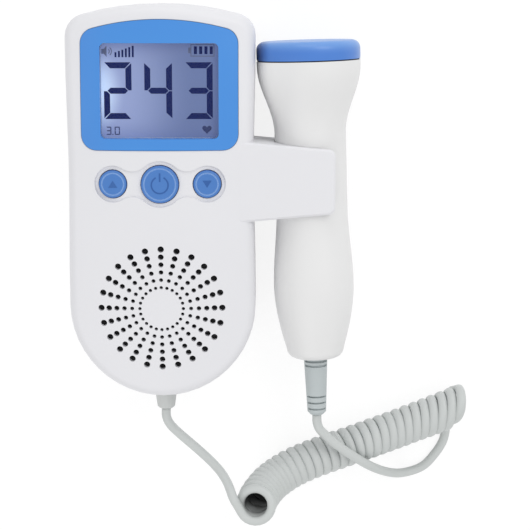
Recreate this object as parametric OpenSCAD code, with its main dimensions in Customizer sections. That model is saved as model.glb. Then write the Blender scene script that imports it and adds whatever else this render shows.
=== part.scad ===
// Handheld fetal doppler monitor with a probe in its side clip and a curly cord.
// Millimetres. The main unit lies on its back: the origin is the centre of the
// back face, +X is right, +Y points to the screen end and +Z out of the front.

/* [Main unit] */
// Width of the main unit
unit_w = 62.6; // [60:0.2:66]
// Thickness of the main unit at the top of its crown
unit_t = 35.5; // [34.5:0.5:39]
// Distance from the origin to the screen end
screen_end = 65.8; // [64:0.2:70]
// Distance from the origin to the centre of the round end
round_end = 34.7; // [34:0.1:38]
// Radius of the arched screen end, seen from the front
top_arc_r = 95; // [80:1:140]
// Radius of the two corners at the screen end
corner_r = 7.5; // [6.5:0.5:11]
// Depth by which each side is drawn in at its middle
side_waist = 0.7; // [0:0.1:1]
// Crown radius of the front across the unit
crown_rx = 115; // [95:5:160]
// Crown radius of the front along the unit
crown_ry = 600; // [450:10:900]
// Height along the unit where the crown is highest
crown_y = 10; // [4:1:16]
// Radius of the rim round the front
rim_r = 4; // [3:0.25:5]
// Radius of the edge round the back
back_r = 4.5; // [3:0.25:5]
// Wall of both housings
wall = 2.2; // [1.8:0.1:2.5]
// Height of the joint between the front and rear shells
parting_z = 15; // [14:0.5:16]
// Depth of the shadow line along the joint
reveal = 0.3; // [0.1:0.05:0.5]

/* [Screen] */
// Width of white housing on each side of the blue bezel
bezel_side = 5.6; // [5:0.1:7]
// Height of the blue bezel at its middle
bezel_h = 42.3; // [41:0.1:44]
// Distance from the origin to the lower edge of the bezel
bezel_y = 18.3; // [17.6:0.1:19]
// Radius of the bezel's arched top edge
bezel_arc_r = 84; // [70:1:120]
// Radius of the bezel's corners
bezel_corner = 5; // [3:0.25:7]
// Thickness of the bezel in its seat
bezel_t = 1.4; // [1:0.1:1.5]
// Height by which the bezel stands proud of the front
bezel_proud = 0.2; // [0.1:0.05:0.4]
// Width of the blue border on each side of the screen window
bezel_border = 6.35; // [5.6:0.05:7.5]
// Height of the screen window
window_h = 31; // [28:0.1:31.5]
// Radius of the window's corners
window_corner = 1.6; // [0.8:0.1:3]
// Rim of the bezel that goes down round the window
window_rim = 1.8; // [1.4:0.1:2]
// Depth of the screen cover below the top of the crown
lens_depth = 3.9; // [3.8:0.1:4.3]
// Thickness of the clear screen cover
lens_t = 1.3; // [1.2:0.1:1.5]
// Thickness of the liquid crystal panel
lcd_t = 2; // [1.6:0.1:2.4]
// Thickness of the light guide behind the panel
backlight_t = 2.4; // [2:0.1:2.6]

/* [Buttons] */
// Distance from the origin to the row of buttons
button_y = 7.2; // [6.6:0.1:7.8]
// Distance from the middle to each side button
button_pitch = 15.5; // [15:0.1:16.5]
// Radius of the power button
power_r = 6.2; // [5.6:0.1:6.4]
// Radius of each side button
side_button_r = 4.6; // [4:0.1:5]
// Clearance round each button
button_gap = 0.2; // [0.15:0.05:0.3]
// Height of the button tops above the crown
button_proud = 0.3; // [0.1:0.1:0.8]
// Travel of the buttons
travel = 0.6; // [0.4:0.1:0.8]
// Thickness of the flange under each button
flange_t = 1.2; // [1:0.1:1.4]
// Depth of the hollow round the buttons
hollow_d = 0.6; // [0.4:0.1:0.8]
// Width of the hollow round each button
hollow_margin = 1.5; // [1:0.1:1.8]
// Radius of the waists between the three rings of the hollow
hollow_waist_r = 6; // [4:0.5:9]

/* [Speaker] */
// Rings of holes in the grille
grille_rings = 6; // [4:1:6]
// Spokes of holes in the grille
grille_spokes = 24; // [18:2:24]
// Radius of the innermost ring of holes
grille_r = 7.25; // [7:0.05:7.4]
// Distance from ring to ring
grille_step = 2.59; // [2.4:0.01:2.6]
// Diameter of the holes in the innermost ring
hole_d_in = 1.15; // [0.8:0.05:1.3]
// Diameter of the holes in the outermost ring
hole_d_out = 2.15; // [1.6:0.05:2.25]
// Radius of the speaker
speaker_r = 21; // [20:0.1:21.4]
// Height of the speaker from its front to its magnet
speaker_h = 8; // [7:0.1:8.4]

/* [Power supply] */
// Diameter of each battery cell
cell_d = 14.3; // [13.8:0.1:14.5]
// Length of each battery cell with its nub
cell_len = 50.2; // [49.5:0.1:51]
// Distance from the battery bay to the outside of the round end
bay_end = 8.4; // [8:0.1:9]
// Thickness of the battery door
door_t = 1.8; // [1.6:0.1:2]
// Clearance round the battery door
door_gap = 0.2; // [0.15:0.05:0.3]

/* [Probe clip] */
// Distance from the origin to the middle of the clip
clip_y = 7.4; // [6.8:0.1:8]
// Thickness of the clip's two arms at the probe's axis
arm_t = 2.4; // [2:0.1:2.8]
// Distance from the probe's axis to the ends of the arms
arm_tip = 7.6; // [6:0.1:9]
// Width of the arms at their root
arm_root_w = 26.8; // [24:0.2:28]
// Width of the arms at their ends
arm_end_w = 21.6; // [18:0.2:24]
// Radius of the corners at the ends of the arms
arm_corner = 2.4; // [1.5:0.1:4]
// Clearance between the clip and the probe's neck
clip_gap = 0.35; // [0.3:0.05:0.5]

/* [Probe] */
// Distance from the unit's side to the probe's head, were the probe upright
head_gap = 1.5; // [1.5:0.1:4]
// Height of the probe's axis
probe_z = 17.5; // [17.5:0.1:18]
// Lean of the probe in degrees, its head towards the unit
lean = 1.65; // [0:0.05:1.7]
// Radius of the neck
neck_r = 12.05; // [11.5:0.05:12.2]
// Radius of the head
head_r = 17.4; // [16:0.1:17.4]
// Radius of the handle at its thickest
belly_r = 13.7; // [13:0.1:14.5]
// Radius of the handle where its tail turns in
tail_r = 9.85; // [9:0.05:10.5]
// Distance from the neck to the seam under the cap
seam_s = 39.5; // [38:0.1:41]
// Distance from the neck to the tail end
tail_s = 62; // [61:0.1:64]
// Wall of the probe's two shells
probe_wall = 2; // [1.6:0.1:2.4]
// Height of the blue cap
cap_h = 6.6; // [6.4:0.1:9]
// Radius of the cap's edge
cap_edge = 2.8; // [1.5:0.1:3]
// Thickness of the cap's face
cap_face = 1.5; // [1.2:0.1:1.8]

/* [Cord] */
// Diameter of the cord
cord_d = 3.2; // [3:0.05:3.2]
// Length of the probe's strain relief outside the handle
boot_len = 20.6; // [20.2:0.1:21]
// Radius of the probe's strain relief at the handle
boot_r = 4.1; // [3.6:0.05:4.3]
// Length of the unit's strain relief outside the housing
relief_len = 7.5; // [7.2:0.1:7.8]
// Radius of the unit's strain relief at the housing
relief_r = 4; // [3.4:0.05:4.2]
// Mean radius of the curls
curl_r = 4.85; // [4.6:0.05:4.85]

/* [Hidden] */
$fn = 96;

white = [0.90, 0.90, 0.92];
blue = [0.29, 0.56, 0.89];
grey = [0.77, 0.80, 0.80];
dark = [0.08, 0.08, 0.09];
metal = [0.75, 0.75, 0.77];
board_green = [0.10, 0.38, 0.20];

eps = 0.01;         // overlap of tools that cut through a face
fit = 0.02;         // gap between curved faces that seat on each other
high = 60;          // taller than the unit
ring_fn = 60;       // facets of small round features

// ---- outline of the unit and its crown ----

top_c = screen_end - top_arc_r;
corner_c = [
    unit_w / 2 - corner_r,
    top_c + sqrt(pow(top_arc_r - corner_r, 2) - pow(unit_w / 2 - corner_r, 2))
];
top_a = asin(corner_c.x / (top_arc_r - corner_r));
end_steps = 12;
side_steps = 7;
corner_steps = 5;
top_steps = 4;

// Points on an arc about c, both ends included
function arc(c, r, a0, a1, n) =
    [for (i = [0:n]) let (a = a0 + (a1 - a0) * i / n) c + r * [cos(a), sin(a)]];
function tail_of(list) = [for (i = [1:len(list) - 1]) list[i]];
function mirrored(half) =
    concat(half, [for (i = [len(half) - 2:-1:1]) [-half[i].x, half[i].y]]);
function unit3(v) = v / norm(v);
function mix(a, b, t) = a + (b - a) * t;
function smooth(t) = (1 - cos(180 * t)) / 2;

// Right half of the outline, from the round end to the screen end, drawn in by d
function half_outline(d) = concat(
    arc([0, -round_end], unit_w / 2 - d, -90, 0, end_steps),
    [for (i = [1:side_steps - 1]) let (u = i / side_steps)
        [unit_w / 2 - d - side_waist * (1 - cos(360 * u)) / 2,
         mix(-round_end, corner_c.y, u)]],
    arc(corner_c, corner_r - d, 0, 90 - top_a, corner_steps),
    tail_of(arc([0, top_c], top_arc_r - d, 90 - top_a, 90, top_steps))
);
function outline(d) = mirrored(half_outline(d));

// Height of the crown over a point, and its normal; d moves it along that normal
function crown_rho(x, d) = crown_ry - crown_rx + sqrt(pow(crown_rx + d, 2) - x * x);
function crown_z(x, y, d = 0) =
    unit_t - crown_ry + sqrt(pow(crown_rho(x, d), 2) - pow(y - crown_y, 2));
function crown_normal(x, y) = let (
        rho = crown_rho(x, 0),
        cx = (rho - crown_ry + crown_rx) / rho
    ) unit3([x, (y - crown_y) * cx, (crown_z(x, y) - unit_t + crown_ry) * cx]);

// Everything under the crown moved by d: a slice of a large ring
module crown_solid(d) {
    span = 20;
    depth = 50;
    facets_along = 900;
    facets_across = 400;
    translate([0, crown_y, unit_t - crown_ry])
        rotate([0, -90, 0]) rotate([0, 0, -span / 2])
            rotate_extrude(angle = span, $fn = facets_along)
                intersection() {
                    translate([crown_ry - crown_rx, 0]) circle(r = crown_rx + d, $fn = facets_across);
                    translate([crown_ry - depth, -unit_w]) square([2 * depth, 2 * unit_w]);
                }
}

// ---- lofts and tubes ----

// Closed solid through rings of points; cap_a and cap_b list the faces that close it
function loft_sides(rows, n) = [
    for (j = [0:rows - 2], i = [0:n - 1]) let (k = (i + 1) % n)
        each [[j * n + i, (j + 1) * n + i, (j + 1) * n + k], [j * n + i, (j + 1) * n + k, j * n + k]]
];
module loft(rings, cap_a, cap_b) {
    polyhedron(points = [for (r = rings) each r],
               faces = concat(loft_sides(len(rings), len(rings[0])), cap_a, cap_b));
}
function flat_cap(n) = [[for (i = [0:n - 1]) i]];
function flat_lid(n, first) = [[for (i = [n - 1:-1:0]) first + i]];
// A lid over a curved ring: strips from each point to its mirror image
function strip_lid(n, first) = let (m = n / 2) concat(
    [[first, first + n - 1, first + 1]],
    [for (k = [1:m - 2]) each [
        [first + k, first + n - k, first + k + 1],
        [first + k + 1, first + n - k, first + n - k - 1]]],
    [[first + m - 1, first + m + 1, first + m]]
);

// Tube of radius r along a path; ups gives a direction across it at each point
module tube(path, ups, r, sides) {
    last = len(path) - 1;
    rings = [for (i = [0:last]) let (
            t = unit3(path[min(i + 1, last)] - path[max(i - 1, 0)]),
            u = unit3(ups[i] - (ups[i] * t) * t),
            v = cross(t, u)
        ) [for (k = [0:sides - 1]) let (a = 360 * k / sides)
            path[i] + r * (u * cos(a) + v * sin(a))]];
    faces = concat(
        [for (f = loft_sides(last + 1, sides)) [f[0], f[2], f[1]]],
        [[for (k = [sides - 1:-1:0]) k]],
        [[for (k = [0:sides - 1]) last * sides + k]]
    );
    polyhedron(points = [for (q = rings) each q], faces = faces);
}

// ---- main unit: shells ----

rim_steps = 5;
crown_steps = [0.22, 0.46, 0.7, 0.9];
spine_hi = screen_end - unit_w / 2;

module front_skin() {
    edge = outline(0);
    inner = outline(rim_r);
    out = outline(0) - outline(1);
    n = len(edge);
    foot = [for (p = edge) [p.x, p.y, parting_z]];
    // a ball of radius rim_r rolls between the side wall and the crown
    rim = [for (j = [0:rim_steps]) [for (i = [0:n - 1]) let (
            c = [inner[i].x, inner[i].y, crown_z(inner[i].x, inner[i].y, -rim_r)],
            o = unit3([out[i].x, out[i].y, 0]),
            t = crown_normal(inner[i].x, inner[i].y),
            a = acos(o * t),
            u = j / rim_steps
        ) c + rim_r * (o * sin(a * (1 - u)) + t * sin(a * u)) / sin(a)]];
    top = rim[rim_steps];
    crown = [for (f = crown_steps) [for (p = top) let (
            s = [0, max(-round_end, min(spine_hi, p.y))],
            q = mix([p.x, p.y], s, f)
        ) [q.x, q.y, crown_z(q.x, q.y)]]];
    rings = concat([foot], rim, crown);
    loft(rings, flat_cap(n), strip_lid(n, (len(rings) - 1) * n));
}

module rear_skin() {
    inner = outline(back_r);
    out = outline(0) - outline(1);
    n = len(inner);
    steps = 4;
    edge = [for (j = [0:steps]) let (a = 90 * j / steps) [for (i = [0:n - 1])
        let (o = unit3(out[i]), h = back_r * sin(a))
            [inner[i].x + o.x * h, inner[i].y + o.y * h, back_r * (1 - cos(a))]]];
    full = [for (p = outline(0)) [p.x, p.y, parting_z - 2 * reveal]];
    drawn_in = [for (z = [parting_z - 2 * reveal, parting_z])
        [for (p = outline(reveal)) [p.x, p.y, z]]];
    rings = concat(edge, [full], drawn_in);
    loft(rings, flat_cap(n), flat_lid(n, (len(rings) - 1) * n));
}

module outline_prism(d, z0, z1) {
    translate([0, 0, z0]) linear_extrude(z1 - z0) polygon(outline(d));
}

// Screw posts beside the screen and beside the battery bay
post_r = 2.9;
post_x = unit_w / 2 - wall - post_r + 0.2;
post_ys = [corner_c.y, -9];
post_gap = 0.05;
post_top = parting_z + 1.6;
screw_r = 1.15;
screw_head_r = 2.1;
screw_head_t = 1.6;
screw_seat = 9;
screw_len = 14;
screw_slot = 2.6;
screw_slot_w = 0.6;
screw_slot_d = 0.7;

module at_posts() {
    for (side = [-1, 1], y = post_ys) translate([side * post_x, y, 0]) children();
}

module shell_screws() color(metal) at_posts() {
    difference() {
        translate([0, 0, screw_seat - screw_head_t])
            cylinder(r = screw_head_r, h = screw_head_t, $fn = ring_fn);
        for (a = [0, 90]) translate([0, 0, screw_seat - screw_head_t]) rotate(a)
            cube([screw_slot, screw_slot_w, 2 * screw_slot_d], center = true);
    }
    translate([0, 0, screw_seat - eps]) cylinder(r = screw_r, h = screw_len, $fn = ring_fn);
}

// Clip arm: a plate seen from the front, from inside the housing to the arm's end
probe_x = unit_w / 2 + head_gap + head_r;
arm_root_x = unit_w / 2 - 5;
arm_end_x = probe_x + arm_tip;
arm_edge = 0.7;
neck_cut = neck_r + clip_gap;
arm_front_z = probe_z + neck_cut + arm_t;
arm_back_z = probe_z - neck_cut - arm_t;

module arm_plate(z0, z1, trim) {
    translate([0, 0, z0]) hull() {
        translate([arm_root_x, clip_y - arm_root_w / 2 + trim, 0])
            cube([eps, arm_root_w - 2 * trim, z1 - z0]);
        for (side = [-1, 1])
            translate([arm_end_x - arm_corner, clip_y + side * (arm_end_w / 2 - arm_corner), 0])
                cylinder(r = arm_corner - trim, h = z1 - z0, $fn = 32);
    }
}
module front_arm() {
    hull() {
        arm_plate(parting_z, arm_front_z - arm_edge, 0);
        arm_plate(parting_z, arm_front_z, arm_edge);
    }
}
module rear_arm() {
    hull() {
        arm_plate(arm_back_z + arm_edge, parting_z, 0);
        arm_plate(arm_back_z, parting_z, arm_edge);
    }
}
// Space that the probe's neck fills, open to the right so that the probe slides out
module neck_space() {
    on_probe() {
        cylinder(r = neck_cut, h = 2 * arm_root_w, center = true);
        translate([0, -neck_cut, -arm_root_w]) cube([high, 2 * neck_cut, 2 * arm_root_w]);
    }
}

// Speaker and its collar in the front shell
grille_y = -round_end;
gasket_t = 2.4;         // at its thinnest, where the crown is lowest
speaker_top = crown_z(0, grille_y - speaker_r - 2, -wall) - gasket_t;
collar_gap = 0.4;
collar_t = 1.4;
collar_low = speaker_top - 2.4;
grille_out = grille_r + (grille_rings - 1) * grille_step + hole_d_out / 2;

module at_speaker() {
    translate([0, grille_y, 0]) children();
}
module under_crown(d, z0) {
    intersection() {
        translate([0, 0, z0]) linear_extrude(high) children();
        crown_solid(d);
    }
}
module ring_2d(r_out, r_in) {
    difference() {
        circle(r = r_out);
        circle(r = r_in);
    }
}

// Button stack, worked out downwards from the crown
button_xs = [0, -button_pitch, button_pitch];
button_rs = [power_r, side_button_r, side_button_r];
sleeve_t = 1.2;
sleeve_low = crown_z(button_pitch + side_button_r + sleeve_t + 0.4, button_y, -wall) - 0.4;
nub_len = 0.9;
switch_body = 3.5;
switch_stem = 0.8;
switch_gap = 0.1;
board_t = 1.6;
board_top = sleeve_low - flange_t - nub_len - travel - switch_gap - switch_stem - switch_body;

module at_button(i) {
    translate([button_xs[i], button_y, 0]) children();
}
// Waist between two rings: a strip with a hollow arc on each side
module waist_2d(r0, r1, gap) {
    a = r0 + hollow_waist_r;
    b = r1 + hollow_waist_r;
    x = (a * a - b * b + gap * gap) / (2 * gap);
    y = sqrt(a * a - x * x);
    difference() {
        polygon([[0, 0], [x, y], [gap, 0], [x, -y]]);
        for (side = [-1, 1]) translate([x, side * y]) circle(r = hollow_waist_r);
    }
}
module hollow_2d() {
    rs = [for (r = button_rs) r + hollow_margin];
    translate([0, button_y]) {
        for (i = [0:2]) translate([button_xs[i], 0]) circle(r = rs[i]);
        for (side = [0, 1]) mirror([side, 0]) waist_2d(rs[0], rs[1], button_pitch);
    }
}

// Screen stack
bezel_w = unit_w - 2 * bezel_side;
window_w = bezel_w - 2 * bezel_border;
window_y = bezel_y + (bezel_h - 4) / 2 + 0.05;
bezel_rim_w = window_w + 2 * window_rim;
bezel_rim_h = window_h + 2 * window_rim;
lens_top = unit_t - lens_depth;
lcd_top = lens_top - lens_t;
backlight_top = lcd_top - lcd_t;
backlight_low = backlight_top - backlight_t;
screen_gap = 0.15;
bezel_gap = 0.15;
cover_gap = 0.05;

function half_bezel(d) = let (
        w = bezel_w / 2,
        r = bezel_corner,
        cy = bezel_y + bezel_h - bezel_arc_r,
        c = [w - r, cy + sqrt(pow(bezel_arc_r - r, 2) - pow(w - r, 2))],
        a = asin(c.x / (bezel_arc_r - r))
    ) concat(
        [[0, bezel_y + d]],
        arc([w - r, bezel_y + r], r - d, -90, 0, 8),
        arc(c, r - d, 0, 90 - a, 8),
        tail_of(arc([0, cy], bezel_arc_r - d, 90 - a, 90, 8))
    );
module bezel_2d(d) {
    polygon(mirrored(half_bezel(d)));
}
module window_2d(w, h, r) {
    translate([0, window_y]) {
        square([w - 2 * r, h], center = true);
        square([w, h - 2 * r], center = true);
        for (sx = [-1, 1], sy = [-1, 1])
            translate([sx * (w / 2 - r), sy * (h / 2 - r)]) circle(r = r, $fn = ring_fn);
    }
}

module front_shell() color(white) difference() {
    union() {
        difference() {
            union() {
                front_skin();
                front_arm();
            }
            intersection() {
                outline_prism(wall, parting_z - 1, high);
                crown_solid(-wall);
            }
        }
        under_crown(-wall / 2, post_top) at_posts() circle(r = post_r, $fn = ring_fn);
        under_crown(-wall / 2, sleeve_low)
            for (i = [0:2]) translate([button_xs[i], button_y])
                circle(r = button_rs[i] + button_gap + sleeve_t);
        under_crown(-wall / 2, collar_low) translate([0, grille_y])
            ring_2d(speaker_r + collar_gap + collar_t, speaker_r + collar_gap);
    }
    neck_space();
    // seat of the bezel and the opening behind the screen
    difference() {
        translate([0, 0, parting_z + 5]) linear_extrude(high) bezel_2d(-bezel_gap);
        crown_solid(-bezel_t - fit);
    }
    translate([0, 0, parting_z + 5]) linear_extrude(high)
        window_2d(bezel_rim_w + 2 * screen_gap, bezel_rim_h + 2 * screen_gap, window_corner);
    // hollow round the buttons and their bores
    difference() {
        translate([0, 0, parting_z + 5]) linear_extrude(high) hollow_2d();
        crown_solid(-hollow_d);
    }
    for (i = [0:2]) at_button(i) cylinder(r = button_rs[i] + button_gap, h = high);
    // speaker grille
    at_speaker() for (k = [0:grille_rings - 1], a = [0:grille_spokes - 1])
        rotate(a * 360 / grille_spokes) translate([grille_r + k * grille_step, 0, speaker_top])
            cylinder(d = mix(hole_d_in, hole_d_out, k / (grille_rings - 1)), h = high, $fn = 16);
    // pilot holes of the screws
    at_posts() cylinder(r = screw_r + post_gap, h = screw_seat + screw_len + 1, $fn = ring_fn);
    relief_bore();
}

// ---- battery bay ----

plate_t = 0.4;
spring_h = 2.5;
bay_side = cell_d + 0.6;
bay_far = round_end + unit_w / 2 - bay_end;
bay_y = bay_far - cell_len - spring_h - 2 * plate_t;
bay_wall = 1.6;
cell_z = door_t + 0.3 + cell_d / 2;
bay_top = cell_z + cell_d / 2 + 0.3;
bay_roof = 1.2;
door_lap = 1.4;
door_half = bay_side + 1;
door_near = bay_y - door_lap;
door_far = bay_far + door_lap;
tab_x = 8;
tab_w = 5;
tab_out = 1.3;
tab_z = 0.7;
tab_t = 1;
grips = 5;              // finger grooves across the door
grip_pitch = 2;
grip_w = 0.9;
grip_d = 0.4;
grip_half = 6;
grip_first = 6;

module slab(half_w, y_far, y_near, z0, z1) {
    translate([-half_w, -y_far, z0]) cube([2 * half_w, y_far - y_near, z1 - z0]);
}

module battery_door() color(white) {
    difference() {
        intersection() {
            slab(door_half, door_far, door_near, 0, door_t);
            rear_skin();
        }
        for (k = [0:grips - 1]) let (y = door_near + grip_first + k * grip_pitch)
            slab(grip_half, y + grip_w, y, -1, grip_d);
    }
    for (side = [-1, 1]) translate([side * tab_x - tab_w / 2, -door_far - tab_out, tab_z])
        cube([tab_w, tab_out + 0.5, tab_t]);
}

module rear_posts() {
    at_posts() translate([0, 0, wall / 2])
        cylinder(r = post_r, h = post_top - post_gap - wall / 2, $fn = ring_fn);
    for (side = [-1, 1], y = board_posts_y) translate([side * board_post_x, y, wall / 2])
        cylinder(r = board_post_r, h = board_top - board_t - wall / 2, $fn = ring_fn);
}

module rear_shell() color(white) difference() {
    union() {
        difference() {
            union() {
                rear_skin();
                rear_arm();
            }
            outline_prism(wall, wall, parting_z + 1);
        }
        intersection() {
            slab(bay_side + bay_wall, bay_far + bay_wall, bay_y - bay_wall, 1, bay_top + bay_roof);
            outline_prism(wall / 2, 0, high);
        }
        rear_posts();
        // lip that locates the front shell
        difference() {
            union() {
                outline_prism(wall - 0.1, parting_z - 2, parting_z);
                outline_prism(wall + 0.15, parting_z - eps, parting_z + 1.4);
            }
            outline_prism(wall + 1.15, parting_z - 3, parting_z + 3);
        }
    }
    neck_space();
    slab(door_half + door_gap, door_far + door_gap, door_near - door_gap, -1, door_t + 0.05);
    slab(bay_side, bay_far, bay_y, -1, bay_top);
    for (side = [-1, 1]) translate([side * tab_x - tab_w / 2 - 0.3, -door_far - tab_out - 0.3, tab_z - 0.1])
        cube([tab_w + 0.6, tab_out + door_lap + 0.4, tab_z + tab_t + 0.7]);
    at_posts() {
        translate([0, 0, -1]) cylinder(r = screw_head_r + 0.2, h = screw_seat + 1, $fn = ring_fn);
        cylinder(r = screw_r + 0.15, h = high, $fn = ring_fn);
    }
    relief_bore();
}

cell_nub = 1;
cell_nub_r = 2.7;
module cell() {
    cylinder(d = cell_d, h = cell_len - cell_nub, $fn = ring_fn);
    cylinder(r = cell_nub_r, h = cell_len, $fn = ring_fn);
}
cell_near = bay_y + plate_t;
module battery_left() color(dark)
    translate([-bay_side / 2, -cell_near - cell_len, cell_z]) rotate([-90, 0, 0]) cell();
module battery_right() color(dark)
    translate([bay_side / 2, -bay_far + plate_t + cell_len, cell_z]) rotate([90, 0, 0]) cell();

contact_w = 10;
spring_foot_r = 4.5;
spring_tip_r = 3;
module contact(spring) {
    translate([-contact_w / 2, -contact_w / 2, 0]) cube([contact_w, contact_w, plate_t]);
    if (spring) translate([0, 0, plate_t - eps])
        cylinder(r1 = spring_foot_r, r2 = spring_tip_r, h = spring_h + eps, $fn = ring_fn);
}
module battery_contacts() color(metal) for (side = [-1, 1]) {
    translate([side * bay_side / 2, -bay_y, cell_z]) rotate([90, 0, 0]) contact(side > 0);
    translate([side * bay_side / 2, -bay_far, cell_z]) rotate([-90, 0, 0]) contact(side < 0);
}

// ---- screen ----

module display_bezel() color(blue) difference() {
    union() {
        difference() {
            under_crown(bezel_proud, parting_z + 5) bezel_2d(0);
            crown_solid(-bezel_t);
        }
        under_crown(bezel_proud - eps, lcd_top)
            window_2d(bezel_rim_w, bezel_rim_h, window_corner + 0.4);
    }
    translate([0, 0, parting_z]) linear_extrude(high) window_2d(window_w, window_h, window_corner);
}
module screen_layer(z_top, t, w, h) {
    translate([0, 0, z_top - t]) linear_extrude(t) window_2d(w, h, 0.6);
}
module screen_cover() color([0.8, 0.9, 1.0, 0.4])
    translate([0, 0, lcd_top]) linear_extrude(lens_t)
        window_2d(window_w - 2 * cover_gap, window_h - 2 * cover_gap, window_corner - cover_gap);
module lcd_panel() color([0.60, 0.66, 0.85])
    screen_layer(lcd_top, lcd_t, bezel_rim_w, bezel_rim_h);
module backlight_panel() color([0.92, 0.95, 1.0])
    screen_layer(backlight_top, backlight_t, bezel_rim_w - 0.4, bezel_rim_h - 0.4);

frame_t = 1.2;
frame_top = crown_z(bezel_rim_w / 2 + 2, window_y + bezel_rim_h / 2 + 2, -wall) - 0.4;
module lcd_frame() color(white) difference() {
    translate([0, 0, board_top]) linear_extrude(frame_top - board_top)
        window_2d(bezel_rim_w + 2 * frame_t + 0.2, bezel_rim_h + 2 * frame_t + 0.2, 1.5);
    translate([0, 0, backlight_low]) linear_extrude(high)
        window_2d(bezel_rim_w + 0.2, bezel_rim_h + 0.2, 0.6);
    translate([0, 0, board_top - 1]) linear_extrude(high)
        window_2d(bezel_rim_w - 4, bezel_rim_h - 4, 0.6);
}

// ---- buttons and board ----

module button(i) {
    r = button_rs[i];
    top = crown_z(button_xs[i], button_y) + button_proud;
    edge = 0.5;
    groove = 0.25;
    at_button(i) rotate_extrude() difference() {
        polygon([
            [0, sleeve_low - flange_t - nub_len], [1.6, sleeve_low - flange_t - nub_len],
            [1.6, sleeve_low - flange_t], [r + sleeve_t, sleeve_low - flange_t],
            [r + sleeve_t, sleeve_low], [r, sleeve_low], [r, top - edge],
            each tail_of(arc([r - edge, top - edge], edge, 0, 90, 4)), [0, top]
        ]);
        translate([r - 1, top]) circle(r = groove, $fn = 16);
    }
}
module power_button() color(blue) button(0);
module up_button() color(blue) button(1);
module down_button() color(blue) button(2);

switch_w = 6;
switch_stem_r = 1.7;
module button_switches() color(dark) for (i = [0:2]) at_button(i) {
    translate([-switch_w / 2, -switch_w / 2, board_top]) cube([switch_w, switch_w, switch_body]);
    translate([0, 0, board_top])
        cylinder(r = switch_stem_r, h = switch_body + switch_stem, $fn = ring_fn);
}

board_side_gap = 2.6;
board_end_gap = 5.6;
board_near = 17.7 - button_y;
board_far = screen_end - wall - board_end_gap;
board_half = unit_w / 2 - wall - board_side_gap;
board_post_r = 2;
board_post_x = board_half - 6.5;
board_posts_y = [button_y - 12.2, board_far - 8];
chip_t = 1.5;
// each chip: its place across and along the window and its side, as shares of the window
chips = [[-0.31, 0.08, 0.26], [0.23, 0.15, 0.18], [0.05, -0.5, 0.31]];
module main_board() color(board_green) {
    difference() {
        translate([-board_half, -board_near, board_top - board_t])
            cube([2 * board_half, board_near + board_far, board_t]);
        at_posts() cylinder(r = post_r + 0.4, h = high, $fn = ring_fn);
    }
    // driver, amplifier and supply chips below the screen, on the back of the board
    for (c = chips)
        translate([c[0] * window_w, window_y + c[1] * window_h, board_top - board_t - chip_t])
            cube([c[2] * window_w, c[2] * window_w, chip_t + eps]);
}

// ---- speaker ----

basket_r = 11;
basket_t = 0.8;
magnet_t = 3.5;
magnet_top = speaker_top - speaker_h + magnet_t;
flange_lip = 1;
rim_w = 2;              // of the frame round the cone
coil_hole_r = 6;
module speaker_frame() color(metal) at_speaker() rotate_extrude() polygon([
    [speaker_r, speaker_top], [speaker_r, speaker_top - flange_lip],
    [speaker_r - rim_w, speaker_top - flange_lip], [basket_r, magnet_top],
    [coil_hole_r, magnet_top], [coil_hole_r, magnet_top + basket_t],
    [basket_r - basket_t / 2, magnet_top + basket_t],
    [speaker_r - rim_w - 0.6, speaker_top - 0.6], [speaker_r - rim_w - 0.6, speaker_top]
]);
module speaker_magnet() color(dark) at_speaker()
    translate([0, 0, speaker_top - speaker_h]) cylinder(r = basket_r, h = magnet_t);
cone_r = speaker_r - rim_w - 0.8;
cone_surround = 1.2;
cone_t = 0.3;
cone_top = speaker_top - 0.2;
cone_depth = 2.4;
dome_r = 6;
dome_top = cone_top - 1.1;
module speaker_cone() color(dark) at_speaker() rotate_extrude() polygon([
    [cone_r, cone_top], [cone_r, cone_top - cone_t], [dome_r, cone_top - cone_depth - cone_t],
    [0, dome_top - cone_t], [0, dome_top], [dome_r, cone_top - cone_depth],
    [cone_r - cone_surround, cone_top]
]);
felt_t = 0.4;
module dust_felt() color(dark) difference() {
    under_crown(-wall - fit, speaker_top) translate([0, grille_y]) circle(r = speaker_r + 0.3);
    crown_solid(-wall - felt_t);
}
module speaker_gasket() color(dark)
    under_crown(-wall - felt_t - fit, speaker_top) translate([0, grille_y])
        ring_2d(speaker_r, speaker_r - 1.6);

// ---- strain reliefs ----

relief_z = parting_z;
relief_neck = relief_r - 0.7;
relief_tip = cord_d / 2 + 1.45;
module relief_bore() {
    translate([0, -round_end - unit_w / 2, relief_z]) rotate([90, 0, 0]) {
        cylinder(r = relief_neck + 0.1, h = 2 * (wall + 1), center = true, $fn = ring_fn);
        translate([0, 0, -wall - 4]) cylinder(r = relief_neck + 1.8, h = 4, $fn = ring_fn);
    }
}
relief_edge = 0.6;
module unit_strain_relief() color(grey)
    translate([0, -round_end - unit_w / 2, relief_z]) rotate([90, 0, 0]) rotate_extrude() polygon([
        [0, -wall - 1.9], [relief_neck + 1.5, -wall - 1.9], [relief_neck + 1.5, -wall - 0.5],
        [relief_neck, -wall - 0.5], [relief_neck, 0.1], [relief_r, 0.1],
        [relief_tip, relief_len - relief_edge], [relief_tip - relief_edge, relief_len], [0, relief_len]
    ]);

// ---- probe ----

// Along the probe: z points to its head, 0 at the middle of its neck
module on_probe() {
    translate([probe_x, clip_y, probe_z]) rotate([0, 0, lean]) rotate([-90, 0, 0]) children();
}
neck_lo = -9;
neck_hi = 15.4;
belly_s = -37.2;
flare_s = seam_s - 1.6;
tail_round = 3;
turn_s = -tail_s + tail_round;
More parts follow.
